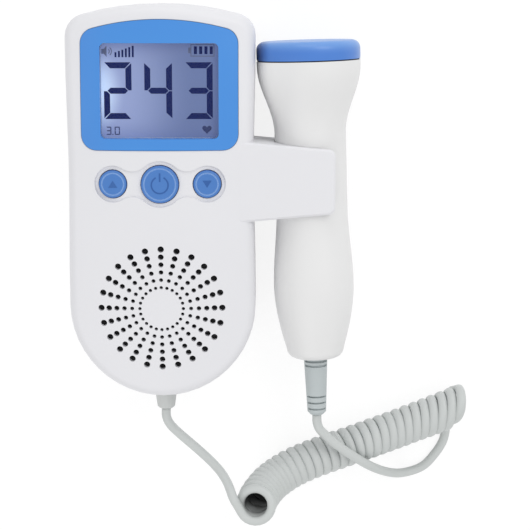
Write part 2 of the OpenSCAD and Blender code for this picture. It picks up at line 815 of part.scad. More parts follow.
// Radius of the probe at s: an arched tail, a swelling handle, a neck and a flared head
function probe_r(s) =
    s < belly_s ? belly_r - (belly_r - tail_r) * pow((belly_s - s) / (belly_s - turn_s), 1.7) :
    s < neck_lo ? mix(neck_r, belly_r, smooth((neck_lo - s) / (neck_lo - belly_s))) :
    s < neck_hi ? neck_r :
    s < flare_s ? mix(neck_r, head_r, smooth((s - neck_hi) / (flare_s - neck_hi))) : head_r;
function steps(a, b, n) = [for (i = [1:n]) mix(a, b, i / n)];
probe_stations = concat(
    steps(turn_s, belly_s, 7), steps(belly_s, neck_lo, 9), [neck_hi],
    steps(neck_hi, flare_s, 12), [seam_s]
);
function at_station(s, d) = [probe_r(s) - d, s];
probe_outline = concat(
    [[0, -tail_s]], arc([tail_r - tail_round, turn_s], tail_round, -90, 0, 5),
    [for (s = probe_stations) at_station(s, 0)], [[0, seam_s]]
);
probe_hollow = concat(
    [[0, turn_s - 1], [tail_r - probe_wall, turn_s - 1]],
    [for (s = probe_stations) at_station(s, probe_wall)],
    [[head_r - probe_wall, seam_s + 1], [0, seam_s + 1]]
);
boot_neck = boot_r - 0.7;
boot_flange = boot_neck + 1.5;
probe_end_wall = tail_round - 1 + eps;

// One half of the probe's housing, in front of or behind its middle plane
module probe_half(front) {
    on_probe() difference() {
        rotate_extrude() polygon(probe_outline);
        rotate_extrude() polygon(probe_hollow);
        translate([0, 0, -tail_s - 1])
            cylinder(r = boot_neck + 0.1, h = 2 * tail_round, $fn = ring_fn);
        translate([-high, front ? 0 : -2 * high, -2 * high]) cube([2 * high, 2 * high, 4 * high]);
    }
}
board_lo = 29;
board_hi = 11;
module probe_front_shell() color(white) probe_half(true);
module probe_rear_shell() color(white) probe_half(false);
probe_board_t = 1.2;
probe_chip_w = 8;
probe_chip_t = 1.8;
probe_chip_s = 20;
module probe_board() color(board_green) on_probe() {
    half = neck_r - probe_wall - 0.1;
    translate([-half, -probe_board_t / 2, -board_lo])
        cube([2 * half, probe_board_t, board_lo + board_hi]);
    translate([-probe_chip_w / 2, -probe_board_t / 2 - probe_chip_t, -probe_chip_s])
        cube([probe_chip_w, probe_chip_t + eps, probe_chip_w]);
}

seal_t = 0.4;
cap_low = seam_s + seal_t;
cap_top = seam_s + cap_h;
cap_wall = 2;
module cap_seal_ring() color(dark) on_probe() rotate_extrude() polygon([
    [head_r - probe_wall - 0.05, seam_s], [head_r - 0.35, seam_s],
    [head_r - 0.35, cap_low], [head_r - probe_wall - 0.05, cap_low]
]);
module transducer_cap() color(blue) on_probe() rotate_extrude() polygon([
    [head_r - cap_wall - 0.5, cap_low - 3], [head_r - probe_wall - 0.1, cap_low - 3],
    [head_r - probe_wall - 0.1, cap_low], [head_r - 0.1, cap_low], [head_r, cap_low + 0.5],
    each arc([head_r - cap_edge, cap_top - cap_edge], cap_edge, 0, 90, 8),
    [0, cap_top], [0, cap_top - cap_face], [head_r - cap_wall - 0.5, cap_top - cap_face]
]);
backing_r = head_r - cap_wall - 0.55;
crystal_t = 0.9;
crystal_r = 8;
backing_t = 3;
backing_top = cap_top - cap_face - crystal_t - 0.05;
module crystal_backing() color(dark) on_probe()
    translate([0, 0, backing_top - backing_t]) cylinder(r = backing_r, h = backing_t);
module crystal(side) {
    on_probe() translate([0, 0, backing_top]) difference() {
        cylinder(r = crystal_r, h = crystal_t);
        translate([side > 0 ? -2 * crystal_r + 0.4 : -0.4, -2 * crystal_r, -1])
            cube([2 * crystal_r, 4 * crystal_r, 3]);
    }
}
module transmit_crystal() color(metal) crystal(1);
module receive_crystal() color(metal) crystal(-1);

boot_tip = cord_d / 2 + 1.65;
boot_bridge = 2.2;      // left whole on each side of the sleeve, beside its slots
// Cuts across the front and back of the sleeve, so that it can bend
module bend_slots(stations, r_keep, width) {
    for (s = stations) translate([0, 0, s]) difference() {
        cylinder(r = 2 * boot_r, h = width, $fn = ring_fn);
        translate([0, 0, -1]) cylinder(r = r_keep, h = width + 2, $fn = ring_fn);
        cube([4 * boot_r, boot_bridge, 3 * width], center = true);
    }
}
module probe_strain_relief() color(grey) on_probe() rotate([180, 0, 0]) translate([0, 0, tail_s])
    difference() {
        rotate_extrude() polygon([
            [0, -probe_end_wall - 1.9], [boot_flange, -probe_end_wall - 1.9],
            [boot_flange, -probe_end_wall - 0.3], [boot_neck, -probe_end_wall - 0.3],
            [boot_neck, 0.1], [boot_r, 0.1], [boot_tip, boot_len - 1],
            [boot_tip - 0.9, boot_len], [0, boot_len]
        ]);
        bend_slots([1, 2.6], boot_r - 0.9, 0.75);
        bend_slots([boot_len - 6.9, boot_len - 4.7, boot_len - 2.5], boot_tip - 0.7, 0.6);
    }

// ---- cord ----

// Where the two leads start, and which way
unit_exit = [0, -round_end - unit_w / 2 - relief_len, relief_z];
probe_dir = [sin(lean), -cos(lean), 0];
probe_exit = [probe_x, clip_y, probe_z] + (tail_s + boot_len) * probe_dir;

// From the unit's strain relief up to the mouth of the coil
unit_lead_route = [
    [0, -76.9, 15], [1.3, -79.9, 14.6], [3.8, -82.9, 13.6], [7.3, -86.4, 12.6],
    [11.3, -90, 12.6], [15.4, -93.4, 14.2], [19, -96.6, 17], [21.5, -99.9, 20]
];
// From the probe's strain relief over the coil and round on the floor to its far end
probe_lead_route = [
    [53.7, -81, 17.4], [55.9, -83.3, 17.1], [58.3, -85.6, 16.9],
    [61.2, -88, 16.4], [65.4, -91.1, 15.5], [70.9, -95.2, 12.8], [76.6, -99.1, 7.4],
    [82.1, -101.3, 3.2], [87.2, -100.9, 1.8], [91.8, -98.8, 1.8], [95.6, -94.6, 1.8],
    [98.3, -90.2, 1.8], [99.3, -86.4, 1.8]
];
// Axis of the coil, from its mouth, which stands up, to its far end, which lies on the lead
coil_axis = [
    [31.5, -106.6, 22.6], [32.3, -106.6, 16.6], [34.9, -105.2, 11.6], [39, -102.6, 8.2],
    [44.2, -99.5, 6.8], [49.8, -96.8, 6.5], [55.7, -94.3, 6.5], [61.7, -92, 6.5],
    [67.7, -89.7, 6.5], [73.7, -87.3, 6.5], [79.6, -84.9, 6.7], [85.2, -82.4, 7.4],
    [90.8, -79.9, 8.5], [96.4, -77.3, 9.7], [102.6, -74.5, 10.9]
];
// After its last curl the cord drops behind the coil and comes forward beneath it
coil_tail = [
    [101.2, -69.7, 6.8], [101.1, -70.4, 4.4], [100.7, -72.3, 2.5], [100.3, -75, 1.8],
    [99.7, -79.6, 1.8], [99.5, -83, 1.8]
];
tail_bend = [100, -75, 6.6];    // middle of that bend
curls = 19.75;                  // turns from mouth to far end
curl_rings = 8;                 // rings of points in one turn
mouth_r = 5.5;                  // mean radius of the first turn
first_phase = -90;              // where round the axis the cord enters the mouth
// how much further apart the turns lie in each stretch of the upward bend
stretches = [1.7, 1.6, 1.6, 1.35, 1.1, 1.02];

// Catmull-Rom curve through a list of points, at parameter u from 0 to its last index
function spline(p, u) = let (
        n = len(p) - 1,
        i = max(0, min(n - 1, floor(u))),
        t = u - i,
        b = p[i],
        c = p[i + 1],
        a = i > 0 ? p[i - 1] : 2 * b - c,
        d = i < n - 1 ? p[i + 2] : 2 * c - b
    ) 0.5 * (2 * b + (c - a) * t + (2 * a - 5 * b + 4 * c - d) * t * t
             + (3 * b - a - 3 * c + d) * t * t * t);
function spline_dir(p, u) = let (h = 0.02)
    unit3(spline(p, min(len(p) - 1, u + h)) - spline(p, max(0, u - h)));

// Turns used up from the mouth to each axis point: the bend takes fewer per millimetre
function axis_weights(i = 0, sum = 0) = i >= len(coil_axis) - 1 ? [sum]
    : concat([sum], axis_weights(i + 1, sum + norm(coil_axis[i + 1] - coil_axis[i])
                                            / (i < len(stretches) ? stretches[i] : 1)));
weights = axis_weights();
weight_all = weights[len(weights) - 1];
function axis_u(w, i = 0) = i >= len(weights) - 2 || w < weights[i + 1]
    ? i + min(1, (w - weights[i]) / (weights[i + 1] - weights[i])) : axis_u(w, i + 1);

across = [-0.46, 0.888, 0];     // direction across the coil as it lies, towards its back
// The cord after so many turns: its place and the direction from the axis to it
function curl_point(turn) = let (
        u = axis_u(weight_all * turn / curls),
        t = spline_dir(coil_axis, u),
        e1 = unit3(-across + (across * t) * t),
        e2 = cross(e1, t),
        a = first_phase + 360 * turn,
        out = e1 * cos(a) + e2 * sin(a)
    ) [spline(coil_axis, u) + mix(mouth_r, curl_r, min(1, turn)) * out, out];
curl_points = [for (k = [0:curls * curl_rings]) curl_point(k / curl_rings)];
first_dir = unit3(curl_points[0][0] - curl_point(0.004)[0]);
coil_start = curl_points[0][0] + cord_d * first_dir;
coil_path = concat([coil_start], [for (q = curl_points) q[0]], coil_tail);
coil_ups = concat([curl_points[0][1]], [for (q = curl_points) q[1]],
                  [for (q = coil_tail) q - tail_bend]);

// Least gap between the surfaces of turns that lie beside or over each other
function point_to_edge(p, a, b) = let (
        t = max(0, min(1, ((p - a) * (b - a)) / ((b - a) * (b - a))))
    ) norm(p - a - t * (b - a));
function gap_between(path, near) = min([
    for (i = [0:len(path) - 1], j = [i + near:min(len(path) - 2, i + 5 * curl_rings)])
        point_to_edge(path[i], path[j], path[j + 1])
]) - cord_d;
echo("least gap of the coil to itself, mm", gap_between(coil_path, curl_rings / 2));

function length_of(p) = len(p) < 2 ? 0 : norm(p[1] - p[0]) + length_of(tail_of(p));
unit_lead = concat([unit_exit], unit_lead_route, [coil_start + cord_d * first_dir, coil_start]);
probe_lead = concat([probe_exit, probe_exit + cord_d * probe_dir], probe_lead_route, [coil_tail[len(coil_tail) - 1]]);
echo("length of the cord, mm", length_of(unit_lead), length_of(coil_path), length_of(probe_lead));

module lead(path) {
    tube(path, [for (p = path) [0, 0, 1]], cord_d / 2, 8);
}
module cord_unit_lead() color(grey) lead(unit_lead);
module cord_probe_lead() color(grey) lead(probe_lead);
module cord_coil() color(grey) tube(coil_path, coil_ups, cord_d / 2, 6);

front_shell();
rear_shell();
battery_door();
display_bezel();
screen_cover();
lcd_panel();
backlight_panel();
lcd_frame();
power_button();
up_button();
down_button();
main_board();
button_switches();
speaker_frame();
speaker_cone();
speaker_magnet();
speaker_gasket();
dust_felt();
battery_left();
battery_right();
battery_contacts();
shell_screws();
unit_strain_relief();
probe_front_shell();
probe_rear_shell();
transducer_cap();
cap_seal_ring();
crystal_backing();
transmit_crystal();
receive_crystal();
probe_board();
probe_strain_relief();
cord_unit_lead();
cord_coil();
cord_probe_lead();
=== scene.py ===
"""Looks of a handheld fetal doppler monitor: its finishes, screen, button signs and curly cord.

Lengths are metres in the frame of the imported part: the monitor lies on its back, +X is right,
+Y points to the screen end and +Z out of the front.
"""
import math

import bpy
import numpy as np
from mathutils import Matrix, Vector
from mathutils.kdtree import KDTree


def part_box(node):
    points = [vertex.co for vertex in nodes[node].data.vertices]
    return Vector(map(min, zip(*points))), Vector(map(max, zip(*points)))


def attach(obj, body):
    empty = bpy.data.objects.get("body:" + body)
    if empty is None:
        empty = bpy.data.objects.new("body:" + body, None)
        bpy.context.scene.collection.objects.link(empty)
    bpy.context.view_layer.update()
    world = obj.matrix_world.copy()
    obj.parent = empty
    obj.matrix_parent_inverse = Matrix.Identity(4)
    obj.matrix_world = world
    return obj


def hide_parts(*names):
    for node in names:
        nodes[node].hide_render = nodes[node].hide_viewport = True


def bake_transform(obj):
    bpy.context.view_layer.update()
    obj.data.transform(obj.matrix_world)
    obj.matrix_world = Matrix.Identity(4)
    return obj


MM = 0.001


def mm(points):
    """Points given in millimetres, as vectors in metres."""
    return [Vector(p) * MM for p in points]


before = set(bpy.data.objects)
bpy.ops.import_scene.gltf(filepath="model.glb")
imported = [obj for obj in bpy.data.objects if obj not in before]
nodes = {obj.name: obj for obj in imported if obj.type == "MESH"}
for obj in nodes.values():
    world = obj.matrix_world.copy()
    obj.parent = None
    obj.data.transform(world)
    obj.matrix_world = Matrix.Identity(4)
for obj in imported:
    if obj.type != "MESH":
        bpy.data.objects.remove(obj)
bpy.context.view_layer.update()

# ---- camera: where the photograph was taken from, above the screen end ----

PICTURE = 530                                   # pixels on each side
FOCAL = 1530                                    # focal length in those pixels
SENSOR = 36                                     # mm
EYE = Vector((0.0345, 0.067, 0.534))
TILT = math.radians(9.85)

camera_data = bpy.data.cameras.new("camera")
camera_data.sensor_width = SENSOR
camera_data.lens = SENSOR * FOCAL / PICTURE
camera_data.clip_start = 10 * MM
camera_data.clip_end = 20
camera = bpy.data.objects.new("camera", camera_data)
camera.location = EYE
camera.rotation_euler = (-TILT, 0, 0)
bpy.context.scene.collection.objects.link(camera)
bpy.context.scene.camera = camera

# ---- cord: where it runs ----

CORD_D = 3.2 * MM
CORD_SIDES = 20
PRESSED_WIDE = 1.03                             # the coiled cord is this much wider along the coil,
PRESSED_SQUARE = 2.25                           # squarer than round (2 is round)
PRESSED_THIN = 0.97                             # and this much thinner across
LEAN = math.radians(1.65)                       # the probe leans towards the unit
PROBE_DIR = Vector((math.sin(LEAN), -math.cos(LEAN), 0))
PROBE_MIDDLE = Vector((50.2, 7.4, 17.5)) * MM
PROBE_TO_BOOT = 62 * MM
BOOT_LENGTH = 20.6 * MM
PROBE_EXIT = PROBE_MIDDLE + (PROBE_TO_BOOT + BOOT_LENGTH) * PROBE_DIR
UNIT_EXIT = Vector((0, -73.5, 15)) * MM

UNIT_LEAD = mm([
    (0, -76.9, 15), (1.3, -79.9, 14.6), (3.8, -82.9, 13.6), (7.3, -86.4, 12.6),
    (11.3, -90, 12.6), (15.4, -93.4, 14.2), (19, -96.6, 17), (21.5, -99.9, 20),
])
PROBE_LEAD = mm([
    (53.7, -81, 17.4), (55.9, -83.3, 17.1), (58.3, -85.6, 16.9), (61.2, -88, 16.4),
    (65.4, -91.1, 15.5), (70.9, -95.2, 12.8), (76.6, -99.1, 7.4), (82.1, -101.3, 3.2),
    (87.2, -100.9, 1.8), (91.8, -98.8, 1.8), (95.6, -94.6, 1.8), (98.3, -90.2, 1.8),
    (99.3, -86.4, 1.8),
])
COIL_AXIS = mm([
    (31.5, -106.6, 22.6), (32.3, -106.6, 16.6), (34.9, -105.2, 11.6), (39, -102.6, 8.2),
    (44.2, -99.5, 6.8), (49.8, -96.8, 6.5), (55.7, -94.3, 6.5), (61.7, -92, 6.5),
    (67.7, -89.7, 6.5), (73.7, -87.3, 6.5), (79.6, -84.9, 6.7), (85.2, -82.4, 7.4),
    (90.8, -79.9, 8.5), (96.4, -77.3, 9.7), (102.6, -74.5, 10.9),
])
COIL_TAIL = mm([
    (101.2, -69.7, 6.8), (101.1, -70.4, 4.4), (100.7, -72.3, 2.5), (100.3, -75, 1.8),
    (99.7, -79.6, 1.8), (99.5, -83, 1.8),
])
CURLS = 28.75
CURL_R = 4.9 * MM
CURL_GROWTH = 0.6 * MM                          # the last curl is wider by this much
BEND_GROWTH = 0.75 * MM                         # and the curls of the bend by this
MOUTH_GROWTH = -0.25 * MM                       # and the first curl by this
MOUTH_SHIFT = Vector((-0.3, -0.6, 0)) * MM      # the first curls lie this far left and front
MOUTH_TURNS = 3                                 # over these turns
WIDE_TO = 22                                    # the bend's curls have narrowed after so many turns
BACK_SHIFT = 2.1 * MM                           # and those behind the mouth lie further back,
BACK_FROM = 5                                   # by all of this after so many turns
FIRST_PHASE = -90                               # degrees round the coil at which it starts
STRETCHES = (1.0, 0.8, 0.75, 0.8, 0.9)          # turns are crowded by this much in the bend
ACROSS = Vector((-0.46, 0.888, 0))              # across the coil as it lies, towards its back
CURL_LEAN = 0.4                                 # the top of each curl leans this much to the right
LEAN_FROM, LEAN_TO = 5, 11                      # over these turns the lean sets in
END_SKEW = 0.52                                 # the front of the last curl is drawn this much back
END_TURNS = 14                                  # over these last turns the skew sets in
END_TUCK = 2.6 * MM                             # and tucked in at the front by about half of this
RINGS_PER_CURL = 24
PRESSED_FROM = 6                                # rings after which the cord is fully pressed
PATH_STEP = 1 * MM                              # between two rings where the cord is straight
TAIL_STEP = 0.8 * MM


def spline(points, u):
    """Catmull-Rom curve through the points, at u from 0 to the last index."""
    last = len(points) - 1
    i = max(0, min(last - 1, math.floor(u)))
    t = u - i
    b, c = points[i], points[i + 1]
    a = points[i - 1] if i > 0 else 2 * b - c
    d = points[i + 2] if i < last - 1 else 2 * c - b
    return 0.5 * (2 * b + (c - a) * t + (2 * a - 5 * b + 4 * c - d) * t * t
                  + (3 * b - a - 3 * c + d) * t ** 3)


def smooth_path(points, step):
    """Points along the curve through the given ones, about one step apart."""
    path = []
    for i in range(len(points) - 1):
        count = max(2, round((points[i + 1] - points[i]).length / step))
        path += [spline(points, i + k / count) for k in range(count)]
    return path + [points[-1].copy()]


def coil_place(turn):
    """The centre of the cord after so many turns of the coil, and the coil's direction there."""
    spans = [(q - p).length / (STRETCHES[i] if i < len(STRETCHES) else 1)
             for i, (p, q) in enumerate(zip(COIL_AXIS, COIL_AXIS[1:]))]
    left = sum(spans) * turn / CURLS
    i = 0
    while i < len(spans) - 1 and left >= spans[i]:
        left -= spans[i]
        i += 1
    u = i + min(1, left / spans[i])
    near, end = 0.02, len(COIL_AXIS) - 1
    ahead, behind = spline(COIL_AXIS, min(end, u + near)), spline(COIL_AXIS, max(0, u - near))
    along = (ahead - behind).normalized()
    front = (-ACROSS + ACROSS.dot(along) * along).normalized()
    side = front.cross(along)
    angle = math.radians(FIRST_PHASE + 360 * turn)
    wide = max(0, 1 - turn / WIDE_TO)
    growth = CURL_GROWTH * turn / CURLS
    lift = Vector((0, BACK_SHIFT * wide * min(1, turn / BACK_FROM), BEND_GROWTH * wide))
    lift += growth * (ACROSS + Vector((0, 0, 1))) + MOUTH_SHIFT * max(0, 1 - turn / MOUTH_TURNS)
    radius = CURL_R + growth + BEND_GROWTH * wide + MOUTH_GROWTH * max(0, 1 - turn)
    radius -= END_TUCK * max(0, turn - CURLS + 1) * max(0, math.cos(angle))
    out = radius * (front * math.cos(angle) + side * math.sin(angle))
    lean = CURL_LEAN * max(0, min(1, (turn - LEAN_FROM) / (LEAN_TO - LEAN_FROM)))
    skew = END_SKEW * max(0, (turn - CURLS + END_TURNS) / END_TURNS)
    leant = (lean * out.z - skew * out.dot(front)) * along
    return spline(COIL_AXIS, u) + lift + out + leant, along


coil_places = [coil_place(k / RINGS_PER_CURL) for k in range(int(CURLS * RINGS_PER_CURL) + 1)]
coil = [place for place, _ in coil_places]
mouth_dir = (coil[0] - coil_place(0.004)[0]).normalized()
coil_start = coil[0] + CORD_D * mouth_dir
lead_out = smooth_path([UNIT_EXIT] + UNIT_LEAD + [coil_start + CORD_D * mouth_dir, coil_start],
                       PATH_STEP)
tail = smooth_path([coil[-2], coil[-1]] + COIL_TAIL, TAIL_STEP)
unit_path = lead_out + coil[:-1] + tail[2:]
probe_path = smooth_path([PROBE_EXIT, PROBE_EXIT + CORD_D * PROBE_DIR] + PROBE_LEAD
                         + [COIL_TAIL[-1]], PATH_STEP)


def mesh_object(name, verts, faces, smooth=False):
    mesh = bpy.data.meshes.new(name)
    mesh.from_pydata([tuple(v) for v in verts], [], faces)
    mesh.update()
    if smooth:
        mesh.polygons.foreach_set("use_smooth", [True] * len(mesh.polygons))
    piece = bpy.data.objects.new(name, mesh)
    bpy.context.scene.collection.objects.link(piece)
    return piece


def pressed_radius(out, along, axis, share):
    """Radius of the coiled cord in the direction out, for a cord of radius 1 pressed by a share."""
    towards_next = (axis - axis.dot(along) * along).normalized()
    beside = abs(out.dot(towards_next)) / (1 + (PRESSED_WIDE - 1) * share)
    across = abs(out.dot(along.cross(towards_next))) / (1 + (PRESSED_THIN - 1) * share)
    power = 2 + (PRESSED_SQUARE - 2) * share
    return (beside ** power + across ** power) ** (-1 / power)


def tube(name, path, radius, sides, pressed=None):
    """A tube along a path, its rings carried on without twist, with flat ends.

    Pressed gives, by the number of a ring, the coil's axis there and how far the cord is pressed.
    """
    normal = Vector((0, 0, 1))
    verts = []
    for i, p in enumerate(path):
        along = (path[min(i + 1, len(path) - 1)] - path[max(i - 1, 0)]).normalized()
        normal = (normal - normal.dot(along) * along).normalized()
        other = along.cross(normal)
        for k in range(sides):
            angle = 2 * math.pi * k / sides
            out = normal * math.cos(angle) + other * math.sin(angle)
            if pressed and i in pressed:
                axis, share = pressed[i]
                out = out * pressed_radius(out, along, axis, share)
            verts.append(p + radius * out)
    faces = [(j * sides + k, j * sides + (k + 1) % sides,
              (j + 1) * sides + (k + 1) % sides, (j + 1) * sides + k)
             for j in range(len(path) - 1) for k in range(sides)]
    last = (len(path) - 1) * sides
    faces.append(tuple(range(sides - 1, -1, -1)))
    faces.append(tuple(range(last, last + sides)))
    piece = mesh_object(name, verts, faces, smooth=True)
    for cap in piece.data.polygons[-2:]:
        cap.use_smooth = False
    return piece


pressed = {}
for i, (_, axis) in enumerate(coil_places):
    rings_to_end = min(i, len(coil_places) - 1 - i)
    pressed[len(lead_out) + i] = axis, min(1, rings_to_end / PRESSED_FROM)
cord_from_unit = tube("cord_from_unit", unit_path, CORD_D / 2, CORD_SIDES, pressed)
cord_to_probe = tube("cord_to_probe", probe_path, CORD_D / 2, CORD_SIDES)
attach(cord_from_unit, "unit")
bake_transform(cord_to_probe)
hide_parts("cord_unit_lead", "cord_coil")
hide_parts("cord_probe_lead")

# ---- materials ----


def linear(rgb):
    """An sRGB colour of 0 to 1 in Blender's linear terms, with full alpha."""
    return tuple(c / 12.92 if c <= 0.04045 else ((c + 0.055) / 1.055) ** 2.4 for c in rgb) + (1,)


class Wire:
    """A socket of a material's tree. Sums and products of wires add their Math nodes."""

    def __init__(self, tree, socket):
        self.tree, self.socket = tree, socket

    def make(self, kind, settings=None, values=None, out=0):
        """A node with its settings, its inputs by name or number, and one of its outputs."""
        node = self.tree.nodes.new(kind)
        for key, value in (settings or {}).items():
            setattr(node, key, value)
        for key, value in (values or {}).items():
            if isinstance(value, Wire):
                self.tree.links.new(value.socket, node.inputs[key])
            else:
                node.inputs[key].default_value = value
        return Wire(self.tree, node.outputs[out])

    def math(self, operation, *values):
        return self.make("ShaderNodeMath", {"operation": operation}, dict(enumerate(values)))

    def __add__(self, other):
        return self.math("ADD", self, other)

    def __sub__(self, other):
        return self.math("SUBTRACT", self, other)

    def __rsub__(self, other):
        return self.math("SUBTRACT", other, self)

    def __mul__(self, other):
        return self.math("MULTIPLY", self, other)

    def __abs__(self):
        return self.math("ABSOLUTE", self)

    __radd__ = __add__
    __rmul__ = __mul__

    def step(self, low, high):
        """0 below low, 1 above high and a smooth rise between."""
        return self.make("ShaderNodeMapRange", {"interpolation_type": "SMOOTHSTEP"},
                         {"Value": self, "From Min": low, "From Max": high})

    def between(self, low, high):
        """Mixes two colours by this wire."""
        return self.make("ShaderNodeMix", {"data_type": "RGBA"},
                         {0: self, 6: low, 7: high}, out=2)


OBJECT_PLACE = 3                                # the Object output of a Texture Coordinate node


class Finish:
    """A material with one Principled shader, and the wires that start its patterns."""

    def __init__(self, name, **constants):
        self.material = bpy.data.materials.new(name)
        self.material.use_nodes = True
        self.tree = self.material.node_tree
        self.shader = next(n for n in self.tree.nodes if n.type == "BSDF_PRINCIPLED")
        for key, value in constants.items():
            self.shader.inputs[key.replace("_", " ")].default_value = value
        self.place = Wire(self.tree, None).make("ShaderNodeTexCoord", out=OBJECT_PLACE)

    def axis(self, number):
        return self.place.make("ShaderNodeSeparateXYZ", None, {0: self.place}, out=number)

    def noise(self, scale, detail=2):
        return self.place.make("ShaderNodeTexNoise", None, {
            "Vector": self.place, "Scale": scale, "Detail": detail})

    def distance(self, centre, only=(1, 1, 1)):
        """Distance from a point, with each axis counted as much as its number in only says."""
        apart = self.place.make("ShaderNodeVectorMath", {"operation": "SUBTRACT"},
                                {0: self.place, 1: tuple(centre)})
        flat = self.place.make("ShaderNodeVectorMath", {"operation": "MULTIPLY"},
                               {0: apart, 1: only})
        return self.place.make("ShaderNodeVectorMath", {"operation": "LENGTH"}, {0: flat}, out=1)

    def set(self, **wires):
        for key, wire in wires.items():
            self.tree.links.new(wire.socket, self.shader.inputs[key.replace("_", " ")])

    def bump(self, height, depth):
        """Relief of the given depth in metres where height runs from 0 to 1."""
        self.set(Normal=height.make("ShaderNodeBump", None, {
            "Height": height, "Distance": depth, "Strength": 1}))


CLOUD = 35                                      # noise scale of the flow marks in a moulding
GRAIN = 2600                                    # and of the fine grain of its skin
PLASTIC_GRAIN = 0.004 * MM                      # depths of that grain
VINYL_GRAIN = 0.006 * MM
FELT_GRAIN = 0.06 * MM


def moulded(name, rgb, rough, grain=0.0, shade=0.02):
    """Moulded plastic: an even colour with faint flow shading and a fine grain."""
    finish = Finish(name)
    cloud = finish.noise(CLOUD, detail=3)
    low = linear([max(0, c - shade) for c in rgb])
    high = linear([min(1, c + shade) for c in rgb])
    fine = finish.noise(GRAIN, detail=2)
    finish.set(Base_Color=cloud.between(low, high),
               Roughness=rough - 0.04 + 0.05 * cloud + 0.04 * fine)
    if grain:
        finish.bump(fine, grain)
    return finish.material


WHITE = (0.897, 0.897, 0.911)
CORD_GREY = (0.785, 0.80, 0.795)
UNIT_RELIEF_GREY = (0.80, 0.81, 0.805)
PROBE_RELIEF_GREY = (0.735, 0.765, 0.77)

white = moulded("white_plastic", WHITE, 0.42, grain=PLASTIC_GRAIN, shade=0.006)
unit_relief_grey = moulded("unit_relief_vinyl", UNIT_RELIEF_GREY, 0.5,
                           grain=VINYL_GRAIN, shade=0.012)
probe_relief_grey = moulded("probe_relief_vinyl", PROBE_RELIEF_GREY, 0.5,
                            grain=VINYL_GRAIN, shade=0.012)
inner_white = moulded("inner_plastic", (0.86, 0.86, 0.85), 0.55)
black = moulded("black_plastic", (0.09, 0.09, 0.10), 0.5)
board = moulded("solder_mask", (0.08, 0.34, 0.18), 0.35, shade=0.03)
felt = moulded("felt", (0.13, 0.13, 0.135), 0.95, grain=FELT_GRAIN, shade=0.05)
rubber = moulded("seal_rubber", (0.12, 0.12, 0.14), 0.7)
jacket = moulded("cell_sleeve", (0.16, 0.22, 0.36), 0.3)
ceramic = moulded("ceramic", (0.80, 0.78, 0.70), 0.4)


PAINTED_LIGHT_WIDTH = 13 * MM                          # of the probe's painted light, on the side of the unit


def probe_finish():
    """Neutral white plastic, with painted light on the side that the unit shades, against that
    shade.
    """
    finish = Finish("probe_plastic")
    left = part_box("transducer_cap")[0].x
    # painted light: paler white from the left edge up to this width, where the unit shades the
    # probe
    past_painted_light = finish.axis(0).step(left, left + PAINTED_LIGHT_WIDTH)
    cloud = finish.noise(CLOUD, detail=3)
    fine = finish.noise(GRAIN, detail=2)
    body = cloud.between(linear((0.899, 0.899, 0.899)), linear((0.911, 0.911, 0.911)))
    finish.set(Base_Color=past_painted_light.between(linear((0.975, 0.975, 0.97)), body),
               Roughness=0.38 + 0.05 * cloud + 0.04 * fine)
    finish.bump(fine, PLASTIC_GRAIN)
    return finish.material


def bezel_finish():
    """Blue polished moulding, a little more violet on its left."""
    finish = Finish("bezel_plastic", IOR=1.5)
    drift = finish.axis(0).step(-26 * MM, -14 * MM)
    cloud = finish.noise(60, detail=2)
    base = drift.between(linear((0.305, 0.565, 0.865)), linear((0.28, 0.565, 0.87)))
    deep = drift.between(linear((0.285, 0.545, 0.85)), linear((0.265, 0.55, 0.86)))
    finish.set(Base_Color=cloud.between(deep, base), Roughness=0.27 + 0.05 * cloud)
    return finish.material


PAINTED_SHADE_CURLS = 9                                   # the curls whose inside gets painted shade,
PAINTED_SHADE_R = (5.4 * MM, 6 * MM)                      # out to this far from the middle of the coil,
PAINTED_SHADE_Z = (-2.6 * MM, -0.6 * MM)                  # from here down, counted from the mouth,
PAINTED_SHADE_Y = (-4.5 * MM, -0.5 * MM)                  # and less so in front of here


def cord_finish():
    """Grey vinyl, with painted shade inside the first curls and less of it at their front, towards
    the light.
    """
    finish = Finish("cord_vinyl")
    mouth = COIL_AXIS[0]
    middles = [sum(coil[i:i + RINGS_PER_CURL], Vector()) / RINGS_PER_CURL
               for i in range(RINGS_PER_CURL // 4, PAINTED_SHADE_CURLS * RINGS_PER_CURL, RINGS_PER_CURL // 2)]
    off_axis = finish.distance(middles[0])
    for middle in middles[1:]:
        off_axis = off_axis.math("MINIMUM", off_axis, finish.distance(middle))
    inside = 1 - off_axis.step(*PAINTED_SHADE_R)
    below = 1 - finish.axis(2).step(*(mouth.z + z for z in PAINTED_SHADE_Z))
    lit = 1 - finish.axis(1).step(*(mouth.y + y for y in PAINTED_SHADE_Y))
    # painted shade: darker, rougher vinyl inside the first curls, where the coil shades itself
    dim = inside * below * (0.93 - 0.45 * lit)
    cloud = finish.noise(CLOUD, detail=3)
    pale = cloud.between(linear([c - 0.014 for c in CORD_GREY]),
                         linear([c + 0.014 for c in CORD_GREY]))
    fine = finish.noise(GRAIN, detail=2)
    finish.set(Base_Color=dim.between(pale, linear((0.08, 0.08, 0.09))),
               Roughness=0.44 + 0.05 * cloud + 0.4 * dim)
    finish.bump(fine, VINYL_GRAIN)
    return finish.material


